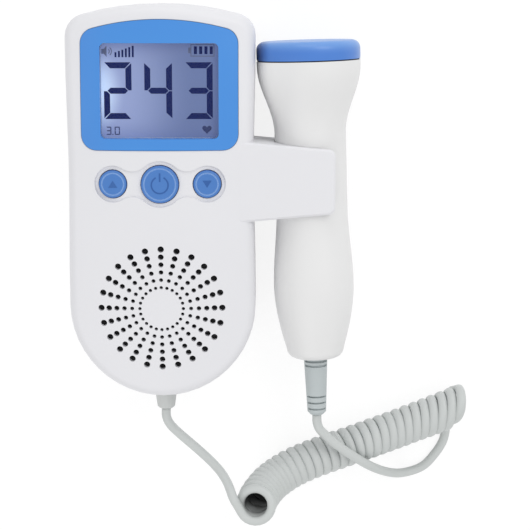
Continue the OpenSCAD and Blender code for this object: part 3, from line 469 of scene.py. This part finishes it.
def cap_finish():
    """Glossy blue cap: painted shade on the side facing the unit, painted light at its top rim and
    right.
    """
    finish = Finish("cap_plastic")
    left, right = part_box("transducer_cap")[0].x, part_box("transducer_cap")[1].x
    # painted shade: much darker blue along the left edge, which faces the unit
    side = finish.axis(0).step(left - 1 * MM, left + 5 * MM)
    # painted light: paler blue towards the right edge
    painted_light_far_side = finish.axis(0).step(right - 3 * MM, right + 1 * MM)
    cloud = finish.noise(60, detail=3)
    body = cloud.between(linear((0.28, 0.49, 0.81)), linear((0.31, 0.52, 0.84)))
    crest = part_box("transducer_cap")[1].y
    # painted highlight: paler blue along the top rim
    painted_highlight_rim = finish.axis(1).step(crest - 4.5 * MM, crest - 0.5 * MM)
    with_painted_highlight = (painted_highlight_rim * 0.55).between(body, linear((0.50, 0.68, 0.90)))
    with_edge_shade = side.between(linear((0.12, 0.23, 0.48)), with_painted_highlight)
    finish.set(Base_Color=(painted_light_far_side * 0.4).between(with_edge_shade, linear((0.52, 0.66, 0.86))),
               Roughness=0.30 + 0.06 * cloud)
    return finish.material


RING_IN = 1 * MM                                # from the edge of a button to its pale ring
RING_HALF = 0.16 * MM
RING_BLUR = 0.18 * MM


def button_finish(name, centre, radius):
    """Blue button with a pale ring in the groove near its edge, and painted shade at its rim."""
    finish = Finish(name)
    out = finish.distance((centre[0], centre[1], 0), only=(1, 1, 0))
    ring = 1 - abs(out - (radius - RING_IN)).step(RING_HALF, RING_HALF + RING_BLUR)
    cloud = finish.noise(90, detail=2)
    body = cloud.between(linear((0.27, 0.475, 0.75)), linear((0.29, 0.495, 0.78)))
    # painted shade: darker blue on the button's outer edge
    painted_edge_shade = out.step(radius - 0.35 * MM, radius + 0.05 * MM)
    with_edge_shade = painted_edge_shade.between(body, linear((0.22, 0.38, 0.66)))
    finish.set(Base_Color=ring.between(with_edge_shade, linear((0.53, 0.68, 0.88))),
               Roughness=0.36 + 0.05 * cloud)
    return finish.material


def steel_finish():
    finish = Finish("plated_steel", Metallic=1.0)
    cloud = finish.noise(700, detail=3)
    finish.set(Base_Color=cloud.between(linear((0.70, 0.70, 0.72)), linear((0.80, 0.80, 0.80))),
               Roughness=0.25 + 0.2 * cloud)
    return finish.material


def clear_finish():
    """Clear flat cover: nearly all passes, with a faint polished reflection."""
    finish = Finish("clear_cover", Alpha=0.05, Roughness=0.06, IOR=1.5)
    speck = finish.noise(1200, detail=1)
    finish.set(Base_Color=speck.between(linear((0.40, 0.45, 0.55)), linear((0.46, 0.50, 0.60))))
    return finish.material


steel = steel_finish()
probe_white = probe_finish()
clear = clear_finish()

BUTTON_Y = 7.2 * MM
BUTTON_PITCH = 15.5 * MM
POWER_R, SIDE_R = 6.2 * MM, 4.6 * MM
BUTTONS = {"power_button": (0, POWER_R), "up_button": (-BUTTON_PITCH, SIDE_R),
           "down_button": (BUTTON_PITCH, SIDE_R)}

finishes = {
    "front_shell": white, "rear_shell": white, "battery_door": white,
    "display_bezel": bezel_finish(), "screen_cover": clear, "lcd_panel": inner_white,
    "backlight_panel": inner_white, "lcd_frame": inner_white, "main_board": board,
    "button_switches": black, "speaker_frame": steel, "speaker_cone": black,
    "speaker_magnet": black, "speaker_gasket": rubber, "dust_felt": felt,
    "battery_left": jacket, "battery_right": jacket, "battery_contacts": steel,
    "shell_screws": steel, "unit_strain_relief": unit_relief_grey,
    "probe_front_shell": probe_white, "probe_rear_shell": probe_white,
    "transducer_cap": cap_finish(), "cap_seal_ring": rubber, "crystal_backing": black,
    "transmit_crystal": ceramic, "receive_crystal": ceramic, "probe_board": board,
    "probe_strain_relief": probe_relief_grey,
}
for name, (x, radius) in BUTTONS.items():
    finishes[name] = button_finish(name + "_plastic", (x, BUTTON_Y), radius)


def paint(piece, material):
    piece.data.materials.clear()
    piece.data.materials.append(material)


for name, material in finishes.items():
    paint(nodes[name], material)
cord_grey = cord_finish()
paint(cord_from_unit, cord_grey)
paint(cord_to_probe, cord_grey)

# ---- smooth shading of the carried-over solids ----

UNIT_W = 62.6 * MM
SCREEN_END = 65.8 * MM
ROUND_END = 34.7 * MM
TOP_ARC = 95 * MM
CORNER = 7.5 * MM
WAIST = 0.7 * MM
CROWN_TOP, CROWN_RX, CROWN_RY, CROWN_Y = 35.5 * MM, 115 * MM, 600 * MM, 10 * MM
RIM = 4 * MM
BACK_EDGE = 4.5 * MM
NEAR_SKIN = 0.12 * MM                           # points this near to a rounded edge lie on it
NEAR_CROWN = 0.08 * MM


def crown_z(x, y, d=0.0):
    """Height of the front's crown at a place, or of a face that lies d outside it."""
    across = CROWN_RY - CROWN_RX + np.sqrt((CROWN_RX + d) ** 2 - x * x)
    return CROWN_TOP - CROWN_RY + np.sqrt(across ** 2 - (y - CROWN_Y) ** 2)


def outline(d, per_mm=12):
    """Both halves of the unit's outline seen from the front, drawn in by d, as dense points."""
    half = UNIT_W / 2
    top_c = SCREEN_END - TOP_ARC
    corner = (half - CORNER, top_c + math.sqrt((TOP_ARC - CORNER) ** 2 - (half - CORNER) ** 2))
    lean = math.asin(corner[0] / (TOP_ARC - CORNER))

    def arc(cx, cy, r, a0, a1):
        count = int(abs(a1 - a0) * r / MM * per_mm)
        return [(cx + r * math.cos(a), cy + r * math.sin(a))
                for a in np.linspace(a0, a1, count)]

    side = [(half - d - WAIST * (1 - math.cos(2 * math.pi * u)) / 2,
             -ROUND_END + (corner[1] + ROUND_END) * u) for u in np.linspace(0, 1, 80 * per_mm)]
    right = (arc(0, -ROUND_END, half - d, -math.pi / 2, 0) + side
             + arc(*corner, CORNER - d, 0, math.pi / 2 - lean)
             + arc(0, top_c, TOP_ARC - d, math.pi / 2 - lean, math.pi / 2))
    return np.array(right + [(-x, y) for x, y in right])


def tree_of(points):
    tree = KDTree(len(points))
    for i, p in enumerate(points):
        tree.insert(p, i)
    tree.balance()
    return tree


front_inner = outline(RIM)
front_centres = tree_of([(x, y, crown_z(x, y, -RIM)) for x, y in front_inner])
front_flat = tree_of([(x, y, 0) for x, y in front_inner])
back_inner = outline(BACK_EDGE)
back_centres = tree_of([(x, y, BACK_EDGE) for x, y in back_inner])


def crown_normal(x, y):
    across = CROWN_RY - CROWN_RX + math.sqrt(CROWN_RX ** 2 - x * x)
    share = (across - CROWN_RY + CROWN_RX) / across
    rise = crown_z(x, y) - CROWN_TOP + CROWN_RY
    return Vector((x, (y - CROWN_Y) * share, rise * share)).normalized()


def front_normal(p):
    """True normal of the front shell's outer skin at a point on it, or None off the skin."""
    if abs(p.z - crown_z(p.x, p.y)) < NEAR_CROWN:
        centre, _, far = front_centres.find(p)
        if far > RIM + 0.1 * MM or (p - centre).dot(crown_normal(p.x, p.y)) > 0.9999 * far:
            return crown_normal(p.x, p.y)
    centre, _, far = front_centres.find(p)
    if p.z > centre.z and abs(far - RIM) < NEAR_SKIN:
        return (p - centre).normalized()
    centre, _, far = front_flat.find((p.x, p.y, 0))
    if abs(math.hypot(p.x - centre.x, p.y - centre.y) - RIM) < NEAR_SKIN:
        return Vector((p.x - centre.x, p.y - centre.y, 0)).normalized()
    return None


def back_normal(p):
    """True normal of the rear shell's outer skin at a point on it, or None off the skin."""
    centre, _, far = back_centres.find((p.x, p.y, min(p.z, BACK_EDGE)))
    out = Vector((p.x - centre.x, p.y - centre.y, min(p.z, BACK_EDGE) - BACK_EDGE))
    if abs(out.length - BACK_EDGE) < NEAR_SKIN and p.z > 0.02 * MM:
        return out.normalized()
    return None


def soften(piece, angle, skin=None, skin_angle=26):
    """Normals that run smoothly over edges flatter than angle, and follow the true skin on it."""
    mesh = piece.data
    polygons = mesh.polygons
    mesh.polygons.foreach_set("use_smooth", [True] * len(polygons))
    around = {}
    corners = []
    for face in polygons:
        points = [mesh.vertices[v].co for v in face.vertices]
        for k, p in enumerate(points):
            a = points[k - 1] - p
            b = points[(k + 1) % len(points)] - p
            weight = a.angle(b, 0) if a.length > 0 and b.length > 0 else 0
            key = (round(p.x * 1e6), round(p.y * 1e6), round(p.z * 1e6))
            around.setdefault(key, []).append((face.normal.copy(), weight))
            corners.append((key, face.normal.copy(), p))
    limit = math.cos(math.radians(angle))
    skin_limit = math.cos(math.radians(skin_angle))
    known = {}
    normals = []
    for key, own, p in corners:
        true = None
        if skin:
            if key not in known:
                known[key] = skin(p)
            true = known[key]
        if true is not None and true.dot(own) > skin_limit:
            normals.append(true)
            continue
        total = Vector((0, 0, 0))
        for normal, weight in around[key]:
            if normal.dot(own) > limit:
                total += normal * weight
        normals.append(total.normalized() if total.length > 1e-9 else own)
    mesh.normals_split_custom_set(normals)


SKINS = {"front_shell": front_normal, "rear_shell": back_normal, "battery_door": back_normal}
SMOOTH_UP_TO = 30                               # degrees between two faces that shade as one
for name in finishes:
    soften(nodes[name], SMOOTH_UP_TO, SKINS.get(name))

# ---- screen: liquid crystal film, digits and small signs ----

WINDOW_W, WINDOW_H, WINDOW_R = 38.7 * MM, 31 * MM, 1.6 * MM
WINDOW_Y = 37.5 * MM
FILM_T = 0.04 * MM
PRINT_T = 0.03 * MM                             # of digits and signs
FILM_IN = 0.3 * MM                              # the film is this much smaller than the window
film_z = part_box("lcd_panel")[1].z + 0.06 * MM


def rounded_rectangle(w, h, r, steps=8):
    points = []
    for cx, cy, start in ((w / 2 - r, h / 2 - r, 0), (r - w / 2, h / 2 - r, 90),
                          (r - w / 2, r - h / 2, 180), (w / 2 - r, r - h / 2, 270)):
        for k in range(steps + 1):
            a = math.radians(start + 90 * k / steps)
            points.append((cx + r * math.cos(a), cy + r * math.sin(a)))
    return points


def plates(name, outlines, z, thick, material, body):
    """Thin flat plates, one for each outline, as one piece that rides on a body."""
    verts, faces = [], []
    for points in outlines:
        n, first = len(points), len(verts)
        verts += [(x, y, z) for x, y in points] + [(x, y, z + thick) for x, y in points]
        faces.append([first + n - 1 - k for k in range(n)])
        faces.append([first + n + k for k in range(n)])
        faces += [(first + k, first + (k + 1) % n, first + n + (k + 1) % n, first + n + k)
                  for k in range(n)]
    piece = mesh_object(name, verts, faces)
    paint(piece, material)
    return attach(piece, body)


def at(points, x, y):
    return [(px + x, py + y) for px, py in points]


BACKLIGHT = (-23 * MM, 37 * MM, 0)              # place of the lamp behind the film
BACKLIGHT_GLOW = (2.5 * MM, 12 * MM)            # its glow is full and ends at these distances


def film_finish():
    """Backlit liquid crystal: pale violet by the lamp on the left, grey-blue to the right."""
    finish = Finish("crystal_film", Emission_Strength=0.3, Roughness=0.3)
    x, y = finish.axis(0), finish.axis(1)
    glow = 1 - finish.distance(BACKLIGHT, only=(1, 0.75, 0)).step(*BACKLIGHT_GLOW)
    right = x.step(-14 * MM, 12 * MM)
    edge = abs(y - WINDOW_Y).step(9 * MM, 15.5 * MM)
    base = right.between(linear((0.53, 0.58, 0.74)), linear((0.365, 0.425, 0.59)))
    lit = glow.between(base, linear((0.81, 0.89, 0.985)))
    shown = (edge * 0.3).between(lit, linear((0.45, 0.50, 0.66)))
    finish.set(Base_Color=shown, Emission_Color=shown)
    return finish.material


film_outline = rounded_rectangle(WINDOW_W - FILM_IN, WINDOW_H - FILM_IN, WINDOW_R)
plates("lcd_film", [at(film_outline, 0, WINDOW_Y)], film_z - FILM_T, FILM_T, film_finish(), "unit")

DIGIT_W, DIGIT_H, BAR = 9.07 * MM, 18.5 * MM, 1.95 * MM
DIGIT_PITCH = 13.28 * MM
DIGIT_GAP = 0.28 * MM
# which of the seven bars each number shows: top, upper right, lower right, bottom, lower left,
# upper left, middle
NUMBERS = {"2": "1101101", "3": "1111001", "4": "0110011", "0": "1111110"}


def digit(number, cx, cy, w, h, bar, gap):
    """Outlines of the bars of one seven-bar number with mitred ends."""
    x, y, g = w / 2, h / 2, gap / 2
    flat = [(-x + 2 * g, y), (x - 2 * g, y), (x - bar - g, y - bar), (-x + bar + g, y - bar)]
    tall = [(x, y - 2 * g), (x, g), (x - bar / 2, g),
            (x - bar, bar / 2 + g), (x - bar, y - bar - g)]
    tip, shoulder = x - bar / 2 - 1.5 * g, x - bar - 1.5 * g
    middle = [(-tip, 0), (-shoulder, bar / 2), (shoulder, bar / 2),
              (tip, 0), (shoulder, -bar / 2), (-shoulder, -bar / 2)]
    flip = {"x": lambda ps: [(-px, py) for px, py in ps][::-1],
            "y": lambda ps: [(px, -py) for px, py in ps][::-1]}
    bars = [flat, tall, flip["y"](tall), flip["y"](flat), flip["y"](flip["x"](tall)),
            flip["x"](tall), middle]
    shown = [b for b, on in zip(bars, NUMBERS[number]) if on == "1"]
    return [at(b if area(b) > 0 else b[::-1], cx, cy) for b in shown]


def area(points):
    return sum(a[0] * b[1] - b[0] * a[1] for a, b in zip(points, points[1:] + points[:1])) / 2


def rectangle(x0, y0, x1, y1):
    return [(x0, y0), (x1, y0), (x1, y1), (x0, y1)]


def arc_band(cx, cy, r, width, a0, a1, steps=16):
    """A band of a ring between two angles in degrees."""
    turns = [math.radians(a0 + (a1 - a0) * k / steps) for k in range(steps + 1)]
    edges = [[(cx + radius * math.cos(a), cy + radius * math.sin(a)) for a in turns]
             for radius in (r + width / 2, r - width / 2)]
    return edges[0] + edges[1][::-1]


def ink(name, rgb):
    finish = Finish(name, Roughness=0.5, Specular_IOR_Level=0.1)
    cloud = finish.noise(400, detail=1)
    finish.set(Base_Color=cloud.between(linear([c * 0.94 for c in rgb]), linear(rgb)))
    return finish.material


segment_ink = ink("segment_ink", (0.075, 0.125, 0.36))
faint_ink = ink("faint_segment_ink", (0.42, 0.45, 0.56))

DIGITS_X = -0.45 * MM                           # middle of the three digits
big = []
for place, number in zip((-1, 0, 1), "243"):
    big += digit(number, DIGITS_X + place * DIGIT_PITCH, WINDOW_Y,
                 DIGIT_W, DIGIT_H, BAR, DIGIT_GAP)
plates("rate_digits", big, film_z, PRINT_T, segment_ink, "unit")

LEVEL_X, LEVEL_Y = -14.6 * MM, 48.4 * MM        # foot of the first of the rising loudness bars
LEVEL_BARS, LEVEL_PITCH, LEVEL_W = 6, 1.13 * MM, 0.62 * MM
LEVEL_H, LEVEL_RISE = 1.6 * MM, 0.41 * MM
level = [rectangle(x, LEVEL_Y, x + LEVEL_W, LEVEL_Y + LEVEL_H + LEVEL_RISE * k)
         for k, x in enumerate(LEVEL_X + LEVEL_PITCH * n for n in range(LEVEL_BARS))]

CELL_X0, CELL_X1, CELL_Y0, CELL_Y1 = 10.2 * MM, 18 * MM, 48.6 * MM, 52.6 * MM
CELL_LINE = 0.28 * MM
CELL_TIP, CELL_TIP_IN = 0.75 * MM, 1.1 * MM
CHARGE_BARS, CHARGE_PITCH, CHARGE_W = 4, 1.72 * MM, 1 * MM
CHARGE_X, CHARGE_Y0, CHARGE_Y1 = 11.3 * MM, 49.4 * MM, 51.9 * MM
cell = [rectangle(CELL_X0, CELL_Y0, CELL_X1, CELL_Y0 + CELL_LINE),
        rectangle(CELL_X0, CELL_Y1 - CELL_LINE, CELL_X1, CELL_Y1),
        rectangle(CELL_X0, CELL_Y0 + CELL_LINE, CELL_X0 + CELL_LINE, CELL_Y1 - CELL_LINE),
        rectangle(CELL_X1 - CELL_LINE, CELL_Y0 + CELL_LINE, CELL_X1, CELL_Y1 - CELL_LINE),
        rectangle(CELL_X0 - CELL_TIP, CELL_Y0 + CELL_TIP_IN, CELL_X0, CELL_Y1 - CELL_TIP_IN)]
charge = [rectangle(x, CHARGE_Y0, x + CHARGE_W, CHARGE_Y1)
          for x in (CHARGE_X + CHARGE_PITCH * n for n in range(CHARGE_BARS))]
plates("level_bars", level + charge, film_z, PRINT_T, segment_ink, "unit")

HORN_X, HORN_Y = -17.2 * MM, 50.3 * MM          # middle of the horn's mouth
HORN_BACK, HORN_NECK = 1.7 * MM, 0.9 * MM       # from there to its back end and to its neck
HORN_HALF, NECK_HALF = 1.8 * MM, 0.8 * MM
SOUND_W = 0.3 * MM
SOUND_R = (0.9 * MM, 1.6 * MM)
SOUND_HALF_TURN = 50                            # degrees
horn = at([(-HORN_BACK, -NECK_HALF), (-HORN_NECK, -NECK_HALF), (0, -HORN_HALF),
           (0, HORN_HALF), (-HORN_NECK, NECK_HALF), (-HORN_BACK, NECK_HALF)], HORN_X, HORN_Y)
sound = [arc_band(HORN_X, HORN_Y, r, SOUND_W, -SOUND_HALF_TURN, SOUND_HALF_TURN) for r in SOUND_R]
plates("screen_signs", cell + [horn] + sound, film_z, PRINT_T, faint_ink, "unit")

SMALL_Y, SMALL_W, SMALL_H = 24.4 * MM, 1.7 * MM, 2.7 * MM
SMALL_BAR, SMALL_GAP = 0.34 * MM, 0.05 * MM
DOT_X, DOT_W = -15.75 * MM, 0.35 * MM
small = [rectangle(DOT_X, SMALL_Y - SMALL_H / 2, DOT_X + DOT_W, SMALL_Y - SMALL_H / 2 + DOT_W)]
for x, number in ((-16.9 * MM, "3"), (-14.1 * MM, "0")):
    small += digit(number, x, SMALL_Y, SMALL_W, SMALL_H, SMALL_BAR, SMALL_GAP)
HEART_X, HEART_Y, HEART_W = 15.4 * MM, 24.9 * MM, 3.1 * MM
HEART_POINTS = 40
heart = [(HEART_X + HEART_W / 32 * 16 * math.sin(a) ** 3,
          HEART_Y + HEART_W / 32 * (13 * math.cos(a) - 5 * math.cos(2 * a)
                                    - 2 * math.cos(3 * a) - math.cos(4 * a)))
         for a in (-2 * math.pi * k / HEART_POINTS for k in range(HEART_POINTS))]
plates("screen_small_signs", small + [heart], film_z, PRINT_T,
       ink("small_segment_ink", (0.27, 0.30, 0.46)), "unit")

# ---- signs on the buttons ----

sign_ink = ink("button_sign_ink", (0.25, 0.41, 0.67))
faint_sign_ink = ink("faint_sign_ink", (0.275, 0.435, 0.69))


def button_top(name):
    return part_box(name)[1].z + 0.01 * MM


def triangle(x, up, half=1.5 * MM, tall=2.4 * MM):
    """A triangle on a button at x, that points up for 1 and down for -1."""
    foot, tip = BUTTON_Y - up * tall / 2, BUTTON_Y + up * tall / 2
    return [(x - half, foot), (x + half, foot), (x, tip)][::up]


plates("up_sign", [triangle(BUTTONS["up_button"][0], 1)], button_top("up_button"),
       PRINT_T, faint_sign_ink, "up_button")
plates("down_sign", [triangle(BUTTONS["down_button"][0], -1)], button_top("down_button"),
       PRINT_T, sign_ink, "down_button")
POWER_Y, POWER_ARC_R, POWER_LINE = BUTTON_Y - 0.2 * MM, 2.75 * MM, 0.5 * MM
POWER_FROM, POWER_TO = 118, 422                 # degrees, so the arc is open at the top
STROKE_HALF, STROKE_FOOT, STROKE_TIP = 0.27 * MM, 0.9 * MM, 3.7 * MM
plates("power_sign", [
    arc_band(0, POWER_Y, POWER_ARC_R, POWER_LINE, POWER_FROM, POWER_TO, steps=40),
    rectangle(-STROKE_HALF, BUTTON_Y + STROKE_FOOT, STROKE_HALF, BUTTON_Y + STROKE_TIP),
], button_top("power_button"), PRINT_T, sign_ink, "power_button")

# ---- stage: white floor, soft lamps ----


def studio_white(name, rgb, own_light):
    """Pale matte surface that the camera sees lifted to white, but for the object's shadow."""
    material = bpy.data.materials.new(name)
    material.use_nodes = True
    tree = material.node_tree
    tree.nodes.clear()
    start = Wire(tree, None)
    rays = [start.make("ShaderNodeLightPath", out=o)
            for o in ("Is Camera Ray", "Is Glossy Ray", "Is Transmission Ray")]
    seen = rays[0].math("MAXIMUM", rays[0].math("MAXIMUM", rays[0], rays[1]), rays[2])
    matte = start.make("ShaderNodeBsdfDiffuse", None, {"Color": linear(rgb)})
    dim = start.make("ShaderNodeBsdfDiffuse", None, {"Color": (0.20, 0.20, 0.20, 1)})
    glow = start.make("ShaderNodeEmission", None, {"Color": (1, 1, 1, 1), "Strength": own_light})
    lifted = start.make("ShaderNodeAddShader", None, {0: dim, 1: glow})
    mixed = start.make("ShaderNodeMixShader", None, {0: seen, 1: matte, 2: lifted})
    output = tree.nodes.new("ShaderNodeOutputMaterial")
    tree.links.new(mixed.socket, output.inputs["Surface"])
    return material


FLOOR_HALF = 3.0                                # metres
FLOOR_WHITE = (0.95, 0.95, 0.95)
FLOOR_LIGHT = 0.84
floor_corners = rectangle(-FLOOR_HALF, -FLOOR_HALF, FLOOR_HALF, FLOOR_HALF)
floor = mesh_object("floor", [(x, y, 0) for x, y in floor_corners], [(0, 1, 2, 3)])
paint(floor, studio_white("floor_white", FLOOR_WHITE, FLOOR_LIGHT))


def lamp(name, place, aim, size, power):
    data = bpy.data.lights.new(name, "AREA")
    data.shape = "DISK"
    data.size = size
    data.energy = power
    light = bpy.data.objects.new(name, data)
    light.location = place
    light.rotation_euler = (Vector(aim) - Vector(place)).to_track_quat("-Z", "Y").to_euler()
    bpy.context.scene.collection.objects.link(light)


MIDDLE = (0.03, -0.02, 0.02)
lamp("key", (0.75, 0.75, 1.05), MIDDLE, 0.9, 5.0)
lamp("top", (0.0, 1.25, 0.55), MIDDLE, 0.9, 2.5)
lamp("fill", (-0.5, -0.9, 0.9), MIDDLE, 1.2, 3.5)

world = bpy.data.worlds.new("studio")
world.use_nodes = True
bpy.context.scene.world = world
background = world.node_tree.nodes["Background"]
light_path = Wire(world.node_tree, None).make("ShaderNodeLightPath")
seen_rays = light_path.math(
    "MAXIMUM", light_path, light_path.make("ShaderNodeLightPath", out="Is Transmission Ray"))
ROOM = 0.71                                     # how bright the object sees the white room
world.node_tree.links.new((seen_rays * (1 - ROOM) + ROOM).socket, background.inputs["Strength"])
background.inputs["Color"].default_value = (1, 1, 1, 1)

view = bpy.context.scene.view_settings
view.view_transform = "Standard"
